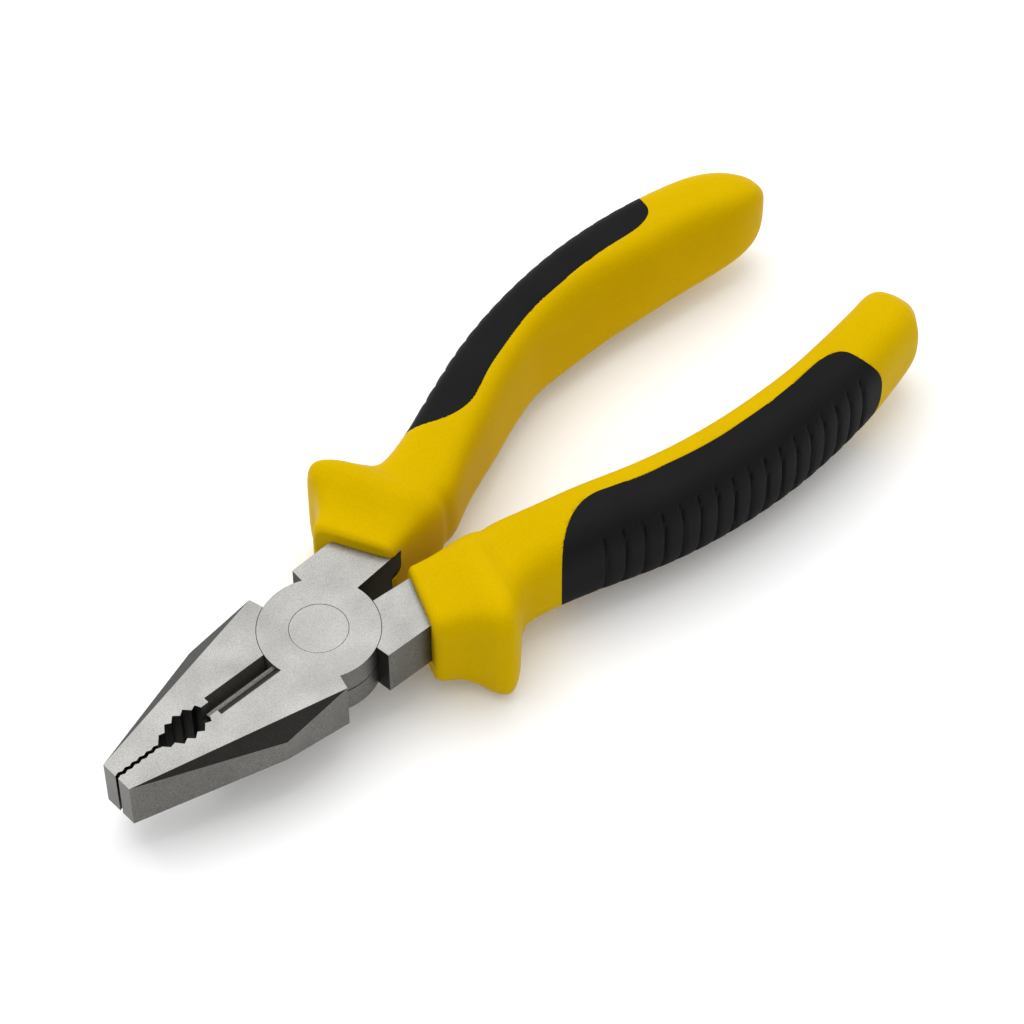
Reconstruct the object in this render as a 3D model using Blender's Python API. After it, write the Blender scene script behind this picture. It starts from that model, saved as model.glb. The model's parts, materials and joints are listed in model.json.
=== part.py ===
"""Combination pliers with two-colour moulded grips, drawn in millimetres and built in metres.

The plan is drawn from the pivot: +X runs to the jaw tips, the near side is +Y and the far side -Y.
The whole tool is then shifted so that the origin lies under the middle of its outline box.
"""
import math

import bmesh
import bpy
from mathutils import Matrix, Vector

MM = 0.001

# Clearance between neighbouring pieces, and how far a cut or a joined body runs past a face
GAP = 0.3
OVERLAP = 1.0
# Points closer to a cutting plane than this lie on it
CUT_MERGE = 0.0005
# Angle from which an edge stays sharp
SHARP_ANGLE = math.radians(35)

# Jaws: the reach from pivot to tip, and how far their centre line turns from that of the grips
JAW_REACH = 46.4
JAW_TURN = math.radians(-1.89)

# Forged head
HEAD_THICK = 10.6
DISC_R = 11.1
DISC_SIDES = 64
HEAD_HALF_WIDTH = 13.2
SHOULDER_X = 4.9
SHOULDER_ROOT = (3.9, 9.6)
TIP_HALF_WIDTH = 3.5
KNEE_X = 19.0
KNEE_DROP = 2.75

# Rivet with a flush head at each end
RIVET_HEAD_R = 5.25
RIVET_SHANK_R = 4.2
RIVET_HEAD_DEPTH = 2.2
RIVET_SIDES = 40

# Cutter: its edge lies in the middle plane. One side of each jaw has a gentle bevel down to a narrow land
# over the edge, and the other side a steep wall down to its foot. The two jaws are alike, turned over. Each
# bend is an offset from the cutting plane and a depth under the face.
CUTTER_END_X = 24.6
CUTTER_HALF_WIDTH = 2.35
CUTTER_LAND = ((0.2, 0.7), (1.05, 0.6))
CUTTER_FOOT = ((1.75, 3.65),)

# Neck between the cutter and the pipe grip, over the end of the cutting edge
NECK_LENGTH = 1.7
NECK_HALF_WIDTH = 1.2

# Serrated oval pipe grip: its lead from the neck, the pitch, and the oval line of the valleys,
# from the first valley to the widest place
PIPE_LEAD = 0.5
PIPE_PITCH = 2.17
PIPE_TEETH = 5
PIPE_TO_WIDEST = 3.8
PIPE_HALF_WIDTH = 3.25
PIPE_START_HALF_WIDTH = 2.3
PIPE_TOOTH_DEPTH = 0.9

# Fine teeth from the pipe grip to the tip
TEETH_LEAD = 0.3
TEETH_COUNT = 6
TEETH_LOW = 0.22
TEETH_HIGH = 0.52

# Tang where it leaves the joint, as plan points on one side
TANG_SHOULDER_X = 5.0
TANG_ROOT = (4.7, 9.3)
TANG_HALF_WIDTH = 12.9
TANG_SLEEVE_OUTER = (22.5, 13.3)
TANG_SLEEVE_INNER = (22.3, 3.01)
TANG_INNER_ROOT = (8.0, 1.9)
TANG_INNER_BEND = (11.1, 2.05)
# The sleeve's mouth is this much wider than the tang on the inner side
MOUTH_ROOM = 0.9

# Tang inside the sleeve: distance behind the pivot, offset from the centre line, half width, half height
TANG_RUN = (
    (19.0, 8.3, 4.2, 4.9),
    (28.0, 10.2, 3.6, 4.6),
    (38.0, 13.0, 2.9, 4.2),
    (50.0, 17.2, 2.4, 3.8),
    (62.0, 21.1, 2.4, 3.6),
    (74.0, 23.8, 2.4, 3.5),
    (86.0, 25.2, 2.4, 3.4),
    (98.0, 24.7, 2.3, 3.3),
    (112.0, 23.0, 2.2, 3.2),
)
TANG_CHAMFER = 0.8

# Sections of a grip from front to back. Each row holds the inner edge's distance behind the pivot and
# its offset, how far the inner face leans, the outer edge's distance and offset, half the height,
# how much taller the outer side is, and how square the section is.
GUARD_ROWS = (
    (19.9, 1.6, 0.0, 13.4, 16.0, 9.0, 0.01, 6.0),
    (21.0, 1.9, 0.0, 14.7, 16.8, 9.3, 0.02, 6.0),
    (24.0, 2.5, 0.0, 17.2, 18.4, 9.6, 0.06, 6.0),
    (26.6, 2.8, 0.0, 18.9, 21.0, 10.3, 0.10, 5.6),
    (28.6, 3.0, 0.0, 20.3, 24.2, 11.2, 0.14, 5.2),
    (30.6, 3.1, 0.0, 22.2, 26.0, 11.7, 0.15, 4.8),
    (32.6, 3.3, 0.0, 24.8, 25.2, 11.2, 0.12, 4.4),
    (34.2, 3.6, 0.0, 27.8, 22.6, 10.1, 0.06, 4.0),
    (35.8, 4.2, 0.0, 30.8, 20.2, 9.4, 0.02, 3.6),
)
NEAR_ROWS = (
    (39.0, 5.6, 0.0, 34.5, 19.7, 9.3, 0.0, 3.4),
    (46.0, 7.9, 0.0, 42.0, 21.7, 9.6, 0.0, 3.2),
    (55.5, 10.7, 0.0, 51.5, 25.1, 10.0, 0.0, 3.2),
    (64.5, 13.7, 0.0, 61.0, 28.3, 10.3, 0.0, 3.2),
    (73.5, 16.1, 0.0, 70.5, 30.5, 10.6, 0.0, 3.2),
    (83.0, 17.8, 0.0, 81.0, 32.1, 10.7, 0.0, 3.2),
    (92.5, 18.7, 0.0, 92.0, 32.9, 10.5, 0.0, 3.2),
    (102.0, 18.8, 0.0, 103.0, 32.6, 10.2, 0.0, 3.2),
    (111.0, 18.2, 0.0, 113.0, 31.6, 10.0, 0.0, 3.1),
    (119.0, 17.4, 0.0, 122.0, 30.0, 9.7, 0.0, 2.9),
    (125.5, 16.3, 0.0, 127.5, 29.0, 9.3, 0.0, 2.7),
    (128.6, 17.5, 0.0, 129.6, 27.3, 7.7, 0.0, 2.5),
    (130.5, 20.3, 0.0, 131.2, 26.0, 4.9, 0.0, 2.3),
    (131.5, 22.5, 0.0, 132.1, 24.8, 1.2, 0.0, 2.0),
)
FAR_ROWS = (
    (39.0, 4.5, 0.0, 34.5, 19.7, 9.3, 0.0, 3.4),
    (46.0, 7.4, -0.5, 42.0, 21.7, 9.6, 0.0, 3.2),
    (55.5, 12.3, -0.2, 51.5, 25.1, 10.0, 0.0, 3.2),
    (64.5, 16.6, 0.2, 61.0, 28.3, 10.3, 0.0, 3.2),
    (73.5, 18.2, 1.6, 70.5, 30.5, 10.6, 0.0, 3.2),
    (83.0, 19.0, 3.2, 81.0, 32.1, 10.7, 0.0, 3.2),
    (92.5, 18.8, 3.8, 92.0, 32.9, 10.5, 0.0, 3.2),
    (102.0, 17.4, 2.9, 103.0, 32.6, 10.2, 0.0, 3.2),
    (111.0, 16.3, 2.7, 113.0, 31.2, 10.0, 0.0, 3.1),
    (119.0, 14.9, 2.0, 122.0, 29.2, 9.7, 0.0, 2.9),
    (125.0, 13.9, 0.8, 127.8, 27.1, 8.9, 0.0, 2.7),
    (129.8, 14.2, 0.3, 131.2, 24.4, 7.5, 0.0, 2.5),
    (133.0, 15.8, 0.0, 133.6, 22.0, 5.0, 0.0, 2.3),
    (134.6, 18.2, 0.0, 134.6, 19.7, 1.2, 0.0, 2.0),
)
# The guard sits a little low on the tang, and the drop fades out behind it
GUARD_DROP = 1.0
DROP_START = 36.0
DROP_END = 52.0
GRIP_STEPS = 2
GRIP_SIDES = 24
CORE_STEPS = 1
CORE_SIDES = 16

# Least half size of a core's section where it runs out
CORE_LEAST = 0.3

# Soft insert: its thickness, and its boundary in plan from the outer front corner to the outer rear
INSERT_THICK = 2.8
INSERT_EDGE = (
    (37.3, 27.0),
    (37.8, 23.6),
    (39.6, 21.2),
    (42.5, 18.8),
    (46.0, 16.7),
    (50.0, 15.5),
    (53.5, 15.6),
    (57.0, 16.9),
    (61.5, 18.7),
    (66.0, 20.1),
    (72.5, 21.9),
    (79.0, 23.1),
    (85.0, 23.6),
    (91.0, 23.9),
    (97.0, 23.8),
    (102.0, 23.4),
    (105.5, 23.3),
    (108.4, 24.1),
    (110.4, 25.6),
    (111.2, 27.8),
    (110.8, 31.0),
    (109.2, 36.0),
)
# The rear end bows further back at mid height: how far, over what half height, and over what share
INSERT_END_BOW = 4.4
INSERT_END_HEIGHT = 9.6
INSERT_END_SHARE = 0.2
INSERT_LEVELS = (-2.0, -1.0, -0.73, -0.42, 0.0, 0.42, 0.73, 1.0, 2.0)

# Grip ribs across the insert's outer face, parted by shallow grooves that fade out towards the top
RIB_START = 48.4
RIB_END = 108.8
RIB_PITCH = 3.75
GROOVE_HALF_WIDTH = 0.7
GROOVE_DEPTH = 0.45
GROOVE_FADE_FROM = 0.45
GROOVE_FADE_TO = 0.75
RIB_STEPS = 6

# Colours, roughness and metallic value of each material
STEEL = ((0.56, 0.55, 0.53, 1.0), 0.38, 1.0)
RIVET_STEEL = ((0.60, 0.59, 0.57, 1.0), 0.34, 1.0)
HARD_YELLOW = ((0.74, 0.50, 0.0, 1.0), 0.42, 0.0)
SOFT_BLACK = ((0.018, 0.018, 0.020, 1.0), 0.62, 0.0)

# Sizes that follow from those above
HALF_THICK = HEAD_THICK / 2
NECK_END_X = CUTTER_END_X + NECK_LENGTH
PIPE_FIRST_X = NECK_END_X + PIPE_LEAD
PIPE_LAST_X = PIPE_FIRST_X + PIPE_PITCH * (PIPE_TEETH - 0.5)
TEETH_START_X = PIPE_LAST_X + TEETH_LEAD
# The outline box is centred on the origin, so the pivot stands this far towards the tip
JAW_TIP_X = JAW_REACH * math.cos(JAW_TURN) + TIP_HALF_WIDTH * abs(math.sin(JAW_TURN))
PIVOT_X = (FAR_ROWS[-1][0] - JAW_TIP_X) / 2


def clear_scene():
    for thing in list(bpy.data.objects):
        bpy.data.objects.remove(thing, do_unlink=True)


def make_material(name, look):
    colour, roughness, metallic = look
    material = bpy.data.materials.new(name)
    material.use_nodes = True
    shader = material.node_tree.nodes["Principled BSDF"]
    shader.inputs["Base Color"].default_value = colour
    shader.inputs["Roughness"].default_value = roughness
    shader.inputs["Metallic"].default_value = metallic
    material.diffuse_color = colour
    return material


def mesh_object(name, bm):
    bmesh.ops.recalc_face_normals(bm, faces=bm.faces)
    mesh = bpy.data.meshes.new(name)
    bm.to_mesh(mesh)
    bm.free()
    thing = bpy.data.objects.new(name, mesh)
    bpy.context.scene.collection.objects.link(thing)
    return thing


def loft(name, rings):
    """A closed body through rings of equal length, with a flat cap at each end."""
    bm = bmesh.new()
    rows = [[bm.verts.new(point) for point in ring] for ring in rings]
    count = len(rows[0])
    for first, second in zip(rows, rows[1:]):
        for i in range(count):
            j = (i + 1) % count
            bm.faces.new((first[i], first[j], second[j], second[i]))
    bm.faces.new(rows[0])
    bm.faces.new(rows[-1])
    return mesh_object(name, bm)


def prism(name, outline, low, high):
    """A vertical prism on a plan outline."""
    return loft(name, [[(x, y, low) for x, y in outline], [(x, y, high) for x, y in outline]])


def circle(radius, sides):
    turn = 2 * math.pi / sides
    return [(radius * math.cos(turn * i), radius * math.sin(turn * i)) for i in range(sides)]


def cylinder(name, radius, low, high, sides):
    return prism(name, circle(radius, sides), low, high)


def combine(target, tool, operation):
    """Apply one exact Boolean to the target and drop the tool."""
    modifier = target.modifiers.new("combine", "BOOLEAN")
    modifier.operation = operation
    modifier.solver = "EXACT"
    modifier.object = tool
    depsgraph = bpy.context.evaluated_depsgraph_get()
    result = bpy.data.meshes.new_from_object(target.evaluated_get(depsgraph))
    target.modifiers.clear()
    target.data = result
    bpy.data.objects.remove(tool, do_unlink=True)
    return target


def turned(points, angle):
    """Plan points turned about the pivot."""
    cos, sin = math.cos(angle), math.sin(angle)
    return [(x * cos - y * sin, x * sin + y * cos) for x, y in points]


def sided(points, near):
    """Near-side plan points, mirrored to the far side where asked."""
    return [(x, y if near else -y) for x, y in points]


def offset_outline(points, distance):
    """Move a closed plan outline outward by a distance; the outline runs anticlockwise."""
    moved = []
    count = len(points)
    for i in range(count):
        before, here, after = points[i - 1], points[i], points[(i + 1) % count]
        first = Vector((here[0] - before[0], here[1] - before[1])).normalized()
        second = Vector((after[0] - here[0], after[1] - here[1])).normalized()
        normal = Vector((first.y + second.y, -first.x - second.x)).normalized()
        stretch = max(0.5, normal.dot(Vector((first.y, -first.x))))
        moved.append((here[0] + normal.x * distance / stretch, here[1] + normal.y * distance / stretch))
    return moved


def area(points):
    """Twice the signed area of a closed plan outline."""
    return sum(a[0] * b[1] - b[0] * a[1] for a, b in zip(points, points[1:] + points[:1]))


def anticlockwise(points):
    return list(points) if area(points) > 0 else list(reversed(points))


def spline(rows, steps):
    """Points of a smooth curve through rows of numbers, several steps for each span."""
    out = []
    last = len(rows) - 1
    for i in range(last):
        a, b, c, d = rows[max(i - 1, 0)], rows[i], rows[i + 1], rows[min(i + 2, last)]
        for k in range(steps):
            t = k / steps
            out.append(tuple(
                0.5 * (2 * q + (r - p) * t + (2 * p - 5 * q + 4 * r - s) * t ** 2
                       + (3 * q - p - 3 * r + s) * t ** 3)
                for p, q, r, s in zip(a, b, c, d)))
    out.append(tuple(rows[-1]))
    return out


def pipe_grip_points():
    """The serrated half oval: valleys on an oval line and crests a tooth depth inside it."""
    points = []
    for i in range(2 * PIPE_TEETH):
        x = PIPE_FIRST_X + PIPE_PITCH * i / 2
        share = (x - PIPE_FIRST_X) / PIPE_TO_WIDEST - 1
        wide = max(TEETH_HIGH, PIPE_HALF_WIDTH - (PIPE_HALF_WIDTH - PIPE_START_HALF_WIDTH) * share ** 2)
        points.append((x, wide if i % 2 == 0 else max(TEETH_HIGH, wide - PIPE_TOOTH_DEPTH)))
    return points


def fine_teeth_points(phase):
    """Fine teeth to the tip, high and low in turn; the phase sets which jaw starts high."""
    points = []
    count = 2 * TEETH_COUNT
    for i in range(count + 1):
        x = TEETH_START_X + (JAW_REACH - TEETH_START_X) * i / count
        points.append((x, TEETH_HIGH if (i + phase) % 2 == 0 else TEETH_LOW))
    return points


def jaw_outline(phase):
    """Plan outline of the near jaw, from inside the joint round to its shoulder."""
    half_gap = GAP / 2
    inner = [(SHOULDER_ROOT[0], half_gap), (NECK_END_X, half_gap), (NECK_END_X, NECK_HALF_WIDTH)]
    inner += pipe_grip_points() + fine_teeth_points(phase)
    outer = [(JAW_REACH, TIP_HALF_WIDTH), (KNEE_X, HEAD_HALF_WIDTH), (SHOULDER_X, HEAD_HALF_WIDTH),
             SHOULDER_ROOT]
    return inner + outer


def cut_facet(jaw, sign):
    """Cut the long sloping facet along a jaw's outer top or bottom edge, as one plane."""
    top = sign * HALF_THICK
    tip = Vector((JAW_REACH, TIP_HALF_WIDTH, top))
    shoulder = Vector((SHOULDER_X, HEAD_HALF_WIDTH, top))
    knee = Vector((KNEE_X, HEAD_HALF_WIDTH, top - sign * KNEE_DROP))
    normal = (tip - shoulder).cross(knee - shoulder).normalized()
    if normal.z * sign < 0:
        normal = -normal
    bm = bmesh.new()
    bm.from_mesh(jaw.data)
    bmesh.ops.bisect_plane(bm, geom=bm.verts[:] + bm.edges[:] + bm.faces[:], dist=CUT_MERGE,
                           plane_co=shoulder, plane_no=normal, clear_outer=True)
    bmesh.ops.holes_fill(bm, edges=[edge for edge in bm.edges if edge.is_boundary])
    bmesh.ops.recalc_face_normals(bm, faces=bm.faces)
    bm.to_mesh(jaw.data)
    bm.free()


def slot_profile(bends, width):
    """Offsets and heights of a slot's side, from the cutting edge over the bends to the face of the jaw,
    and no wider than the width.
    """
    line = [(GAP / 2, 0.0)] + [(y, HALF_THICK - depth) for y, depth in bends]
    line.append((CUTTER_HALF_WIDTH, HALF_THICK))
    kept = [line[0]]
    for (y0, z0), (y1, z1) in zip(line, line[1:]):
        if y1 <= width:
            kept.append((y1, z1))
        else:
            kept.append((width, z0 + (z1 - z0) * (width - y0) / (y1 - y0)))
            break
    return kept


def cutter_slot(name, sign, bends):
    """Space above or below a cutting edge, and the narrower one over its end in the neck."""
    bodies = []
    spans = ((CUTTER_HALF_WIDTH, SHOULDER_ROOT[0], CUTTER_END_X),
             (NECK_HALF_WIDTH, CUTTER_END_X, NECK_END_X + PIPE_LEAD / 2))
    for number, (width, start, end) in enumerate(spans):
        side = slot_profile(bends, width)
        past = HALF_THICK + OVERLAP
        profile = [(-OVERLAP, 0.0)] + side + [(side[-1][0], past), (-OVERLAP, past)]
        rings = [[(x, y, sign * z) for y, z in profile] for x in (start, end)]
        bodies.append(loft(name + str(number), rings))
    return combine(bodies[0], bodies[1], "UNION")


def tang_outline(near, grow):
    """Plan outline of a tang where it leaves the joint, grown by a clearance for the sleeve's cavity."""
    room = MOUTH_ROOM if grow else 0.0
    points = [(-TANG_ROOT[0], TANG_ROOT[1]), (-TANG_SHOULDER_X, TANG_HALF_WIDTH),
              (-TANG_SLEEVE_OUTER[0], TANG_SLEEVE_OUTER[1])]
    points += [(-back, side - room) for back, side in (TANG_SLEEVE_INNER, TANG_INNER_BEND, TANG_INNER_ROOT)]
    points = anticlockwise(sided(points, near))
    if grow:
        points = offset_outline(points, grow)
    return turned(points, JAW_TURN)


def tang_run(name, near, grow):
    """The tapering bar inside the sleeve, with chamfered corners, grown by a clearance for the cavity."""
    rings = []
    last = len(TANG_RUN) - 1
    for i, (back, side, half_width, half_height) in enumerate(TANG_RUN):
        before, after = TANG_RUN[max(i - 1, 0)], TANG_RUN[min(i + 1, last)]
        along = Vector((before[0] - after[0], after[1] - before[1])).normalized()
        across = Vector((-along.y, along.x))
        centre = Vector((-back, side))
        if i == last:
            centre += along * grow
        wide, tall, cut = half_width + grow, half_height + grow, TANG_CHAMFER
        section = [(wide, tall - cut), (wide - cut, tall), (cut - wide, tall), (-wide, tall - cut),
                   (-wide, cut - tall), (cut - wide, -tall), (wide - cut, -tall), (wide, cut - tall)]
        corners = sided([tuple(centre + across * u) for u, v in section], near)
        rings.append([(x, y, v) for (x, y), (u, v) in zip(corners, section)])
    return loft(name, rings)


def tang_solid(name, near, grow):
    """A whole tang: the part at the joint and the run inside the sleeve."""
    half = HALF_THICK + grow
    root = prism(name, tang_outline(near, grow), -half, half)
    return combine(root, tang_run(name + "_run", near, grow), "UNION")


def jaw_solid(name, near):
    """One jaw with its sloping facets and both sides of its cutting edge; the fine teeth interlock."""
    jaw = prism(name, anticlockwise(jaw_outline(0 if near else 1)), -HALF_THICK, HALF_THICK)
    for sign in (1, -1):
        cut_facet(jaw, sign)
        bends = CUTTER_LAND if near == (sign > 0) else CUTTER_FOOT
        combine(jaw, cutter_slot(name + "_slot", sign, bends), "DIFFERENCE")
    if not near:
        jaw.data.transform(Matrix.Diagonal((1.0, -1.0, 1.0, 1.0)))
        jaw.data.flip_normals()
    jaw.data.transform(Matrix.Rotation(JAW_TURN, 4, "Z"))
    return jaw


def steel_half(name, near):
    """One forged half: a jaw, half of the lap joint's thickness as a disc, and the opposite tang."""
    up = 1 if near else -1
    half = jaw_solid(name, near)
    combine(half, tang_solid(name + "_tang", not near, 0.0), "UNION")
    split = up * GAP / 2
    low, high = sorted((split, -up * (HALF_THICK + OVERLAP)))
    room = cylinder(name + "_room", DISC_R + GAP, low, high, DISC_SIDES)
    combine(half, room, "DIFFERENCE")
    low, high = sorted((split, up * HALF_THICK))
    combine(half, cylinder(name + "_disc", DISC_R, low, high, DISC_SIDES), "UNION")
    return combine(half, rivet_body(name + "_bore", GAP), "DIFFERENCE")


def rivet_body(name, grow):
    """Turned rivet body with a wide flush head at each end, grown by a clearance for its hole."""
    end = HALF_THICK + (OVERLAP if grow else 0.0)
    neck = HALF_THICK - RIVET_HEAD_DEPTH - grow
    head, shank = RIVET_HEAD_R + grow, RIVET_SHANK_R + grow
    profile = [(head, end), (head, neck), (shank, neck), (shank, -neck), (head, -neck), (head, -end)]
    rings = [[(x, y, z) for x, y in circle(radius, RIVET_SIDES)] for radius, z in profile]
    return loft(name, rings)


def grip_stations(near, steps):
    return spline(GUARD_ROWS + (NEAR_ROWS if near else FAR_ROWS), steps)


def rib_stations(near):
    """Stations of a ribbed insert with the groove depth at each; a groove is a shallow V."""
    fine = grip_stations(near, RIB_STEPS)
    marks = [(RIB_START - RIB_PITCH, 0.0)]
    for i in range(int((RIB_END - RIB_START) / RIB_PITCH) + 1):
        middle = RIB_START + RIB_PITCH * i
        marks += [(middle - GROOVE_HALF_WIDTH, 0.0), (middle, GROOVE_DEPTH),
                  (middle + GROOVE_HALF_WIDTH, 0.0)]
    marks += [(marks[-1][0] + RIB_PITCH * i, 0.0) for i in (1, 2, 3)]
    stations = [fine[0]]
    depths = [0.0]
    for back, depth in marks:
        for a, b in zip(fine, fine[1:]):
            if a[3] <= back < b[3]:
                t = (back - a[3]) / (b[3] - a[3])
                stations.append(tuple(p + (q - p) * t for p, q in zip(a, b)))
                depths.append(depth)
                break
    return stations + [fine[-1]], depths + [0.0]


def grip_rings(near, inset, stations, sides, depths=None):
    """Sections of one grip. An inset of the top, underside and outer side gives the core under the soft
    insert, and depths are those of the grooves in its outer side.
    """
    rings = []
    for number, row in enumerate(stations):
        back_in, side_in, lean, back_out, side_out, half_height, rise, square = row
        inner = Vector((-back_in, side_in))
        outer = Vector((-back_out, side_out))
        across = (outer - inner).normalized()
        outer -= across * inset
        middle = (inner + outer) / 2
        wide = max((outer - inner).length / 2, CORE_LEAST)
        tall = max(half_height - inset, CORE_LEAST)
        drop = GUARD_DROP * min(1.0, max(0.0, (DROP_END - back_in) / (DROP_END - DROP_START)))
        depth = depths[number] if depths else 0.0
        ring = []
        for i in range(sides):
            angle = 2 * math.pi * (i + 0.5) / sides
            cos, sin = math.cos(angle), math.sin(angle)
            share = math.copysign(abs(cos) ** (2 / square), cos)
            v = math.copysign(abs(sin) ** (2 / square), sin) * tall * (1 + rise * share)
            shift = lean / 2 * (v / half_height) * max(0.0, -share)
            fade = (share - GROOVE_FADE_FROM) / (GROOVE_FADE_TO - GROOVE_FADE_FROM)
            groove = depth * min(1.0, max(0.0, fade))
            point = middle + across * (share * wide + shift - groove)
            ring.append((point.x, point.y if near else -point.y, v - drop))
        rings.append(ring)
    return rings


def core_rings(near, grow):
    return grip_rings(near, INSERT_THICK + grow, grip_stations(near, CORE_STEPS), CORE_SIDES)


def insert_zone(name, near, grow):
    """Upright body over the soft insert's area; its rear end bows back at mid height."""
    edge = [(-back, side) for back, side in INSERT_EDGE]
    last = len(edge) - 1
    bow = [INSERT_END_BOW * max(0.0, 1 - (last - i) / (last * INSERT_END_SHARE)) for i in range(last + 1)]
    outside = max(row[4] for row in NEAR_ROWS + FAR_ROWS) + OVERLAP
    outline = edge + [(edge[-1][0], outside), (edge[0][0], outside)]
    bow += [INSERT_END_BOW, 0.0]
    if area(outline) < 0:
        outline.reverse()
        bow.reverse()
    outline = offset_outline(outline, grow) if grow else outline
    rings = []
    for level in INSERT_LEVELS:
        share = 1 - min(1.0, abs(level)) ** 2
        points = sided([(x - reach * share, y) for (x, y), reach in zip(outline, bow)], near)
        rings.append([(x, y, level * INSERT_END_HEIGHT) for x, y in points])
    return loft(name, rings)


def grip_sleeve(name, near):
    """Hard sleeve: the whole grip less the pocket for its insert and the cavity for its tang."""
    sleeve = loft(name, grip_rings(near, 0.0, grip_stations(near, GRIP_STEPS), GRIP_SIDES))
    pocket = insert_zone(name + "_pocket", near, GAP)
    combine(pocket, loft(name + "_core", core_rings(near, GAP)), "DIFFERENCE")
    combine(sleeve, pocket, "DIFFERENCE")
    return combine(sleeve, tang_solid(name + "_cavity", near, GAP), "DIFFERENCE")


def grip_insert(name, near):
    """Soft insert: the grip's surface over the insert's area, down to the core."""
    stations, depths = rib_stations(near)
    insert = loft(name, grip_rings(near, 0.0, stations, GRIP_SIDES, depths))
    combine(insert, insert_zone(name + "_zone", near, 0.0), "INTERSECT")
    return combine(insert, loft(name + "_core", core_rings(near, 0.0)), "DIFFERENCE")


def lowest_point():
    """How far the grips reach below the middle plane; the tool stands on them."""
    rings = [ring for near in (True, False)
             for ring in grip_rings(near, 0.0, grip_stations(near, GRIP_STEPS), GRIP_SIDES)]
    return min(z for ring in rings for x, y, z in ring)


def finish_piece(thing, material):
    """Give a body its material and shading, and place it with its origin on the pivot."""
    thing.data.transform(Matrix.Scale(MM, 4))
    thing.location = (PIVOT_X * MM, 0.0, -lowest_point() * MM)
    thing.data.materials.clear()
    thing.data.materials.append(material)
    thing.data.shade_smooth()
    thing.data.set_sharp_from_angle(angle=SHARP_ANGLE)


def main():
    clear_scene()
    steel = make_material("forged_steel", STEEL)
    rivet_steel = make_material("rivet_steel", RIVET_STEEL)
    yellow = make_material("hard_yellow_plastic", HARD_YELLOW)
    black = make_material("soft_black_rubber", SOFT_BLACK)
    finish_piece(steel_half("half_near_jaw", True), steel)
    finish_piece(steel_half("half_far_jaw", False), steel)
    finish_piece(rivet_body("rivet", 0.0), rivet_steel)
    for side, near in (("near", True), ("far", False)):
        finish_piece(grip_sleeve("grip_sleeve_" + side, near), yellow)
        finish_piece(grip_insert("grip_insert_" + side, near), black)


main()
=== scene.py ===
"""Dresses the combination pliers: ground and forged steel halves, a flush rivet, hard yellow sleeves and
ribbed soft black inserts, on a pale floor under soft light.

Grip sections are drawn in millimetres from the pivot and set in metres in the frame. There +X runs to the
jaw tips, +Y to the near side, and +Z up along the pivot.
"""
import json
import math

import bmesh
import bpy
from bpy.props import FloatProperty, FloatVectorProperty, PointerProperty
from mathutils import Matrix, Vector


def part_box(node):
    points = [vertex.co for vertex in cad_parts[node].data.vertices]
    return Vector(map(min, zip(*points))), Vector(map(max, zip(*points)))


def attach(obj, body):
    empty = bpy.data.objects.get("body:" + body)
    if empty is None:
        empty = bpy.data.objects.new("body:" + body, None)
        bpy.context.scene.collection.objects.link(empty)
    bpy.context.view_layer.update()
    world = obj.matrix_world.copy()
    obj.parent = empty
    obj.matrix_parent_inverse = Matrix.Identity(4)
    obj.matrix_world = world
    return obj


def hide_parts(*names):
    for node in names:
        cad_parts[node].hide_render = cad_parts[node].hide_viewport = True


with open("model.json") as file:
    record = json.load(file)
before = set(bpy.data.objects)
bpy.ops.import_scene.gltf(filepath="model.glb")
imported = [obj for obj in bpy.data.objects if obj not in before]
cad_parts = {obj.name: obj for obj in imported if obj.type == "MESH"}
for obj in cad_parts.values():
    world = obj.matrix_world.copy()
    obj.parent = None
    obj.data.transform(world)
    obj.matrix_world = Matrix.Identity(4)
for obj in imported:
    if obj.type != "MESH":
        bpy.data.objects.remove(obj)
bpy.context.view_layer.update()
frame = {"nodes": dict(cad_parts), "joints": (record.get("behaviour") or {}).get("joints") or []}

bl_info = {
    "name": "Combination pliers",
    "version": (1, 0, 0),
    "blender": (4, 5, 0),
    "location": "3D View > Sidebar > Pliers",
    "description": "Builds the visible pieces of a pair of combination pliers around their CAD frame",
    "category": "Object",
}

MM = 0.001
PIVOT = Vector(frame["joints"][0]["pos_m"])
# How far the closed jaws are turned from +X, and half the thickness of the head
JAW_TURN = math.radians(-1.89)
HALF_THICK = 5.3
# Corners of the frame's meshes that lie this close are one, in metres
MERGE = 0.000002

# Regions of a forged half, by distance from the pivot along it and from its cutting plane; the last is the
# reach of the joint's disc, which keeps its edges
RECESS_X = (3.0, 26.4)
RECESS_HALF_WIDTH = 2.6
PIPE_GRIP_X = (26.2, 36.8)
PIPE_GRIP_HALF_WIDTH = 3.6
TEETH_HALF_WIDTH = 0.7
TANG_X = -2.0
TANG_HALF_GAP = 4.5
DISC_REACH = 11.6
# The recess's floor lies at least this deep, and a worn edge at most this deep
FLOOR_DEPTH = 0.5
EDGE_DEPTH = 0.3
# Upright part of a face's normal from which it counts as level, as gently sloping and as sloping
LEVEL = 0.98
GENTLE = 0.8
SLOPING = 0.1
# Part along x of its normal from which a face ends a tooth, and from which a face of a tang looks forward
TOOTH_END = 0.95
FORWARD = 0.5
# Round walls that come closer to what they face: the radius in the frame, and the one that shows; and how
# near to the first a corner has to be
CLOSER_WALLS = ((11.4, 11.22), (5.55, 5.42))
WALL_ROOM = 0.02
# Folds of the forged halves, in degrees: merged below the first, crisp from the second, worn from the third
MERGED_FOLD = 0.4
CRISP_FOLD = 12.0
WORN_FOLD = 30.0
# The rivet's sides, and the width of its rounded rims in metres
RIVET_SIDES = 96
RIVET_RIM = 0.00008

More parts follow.
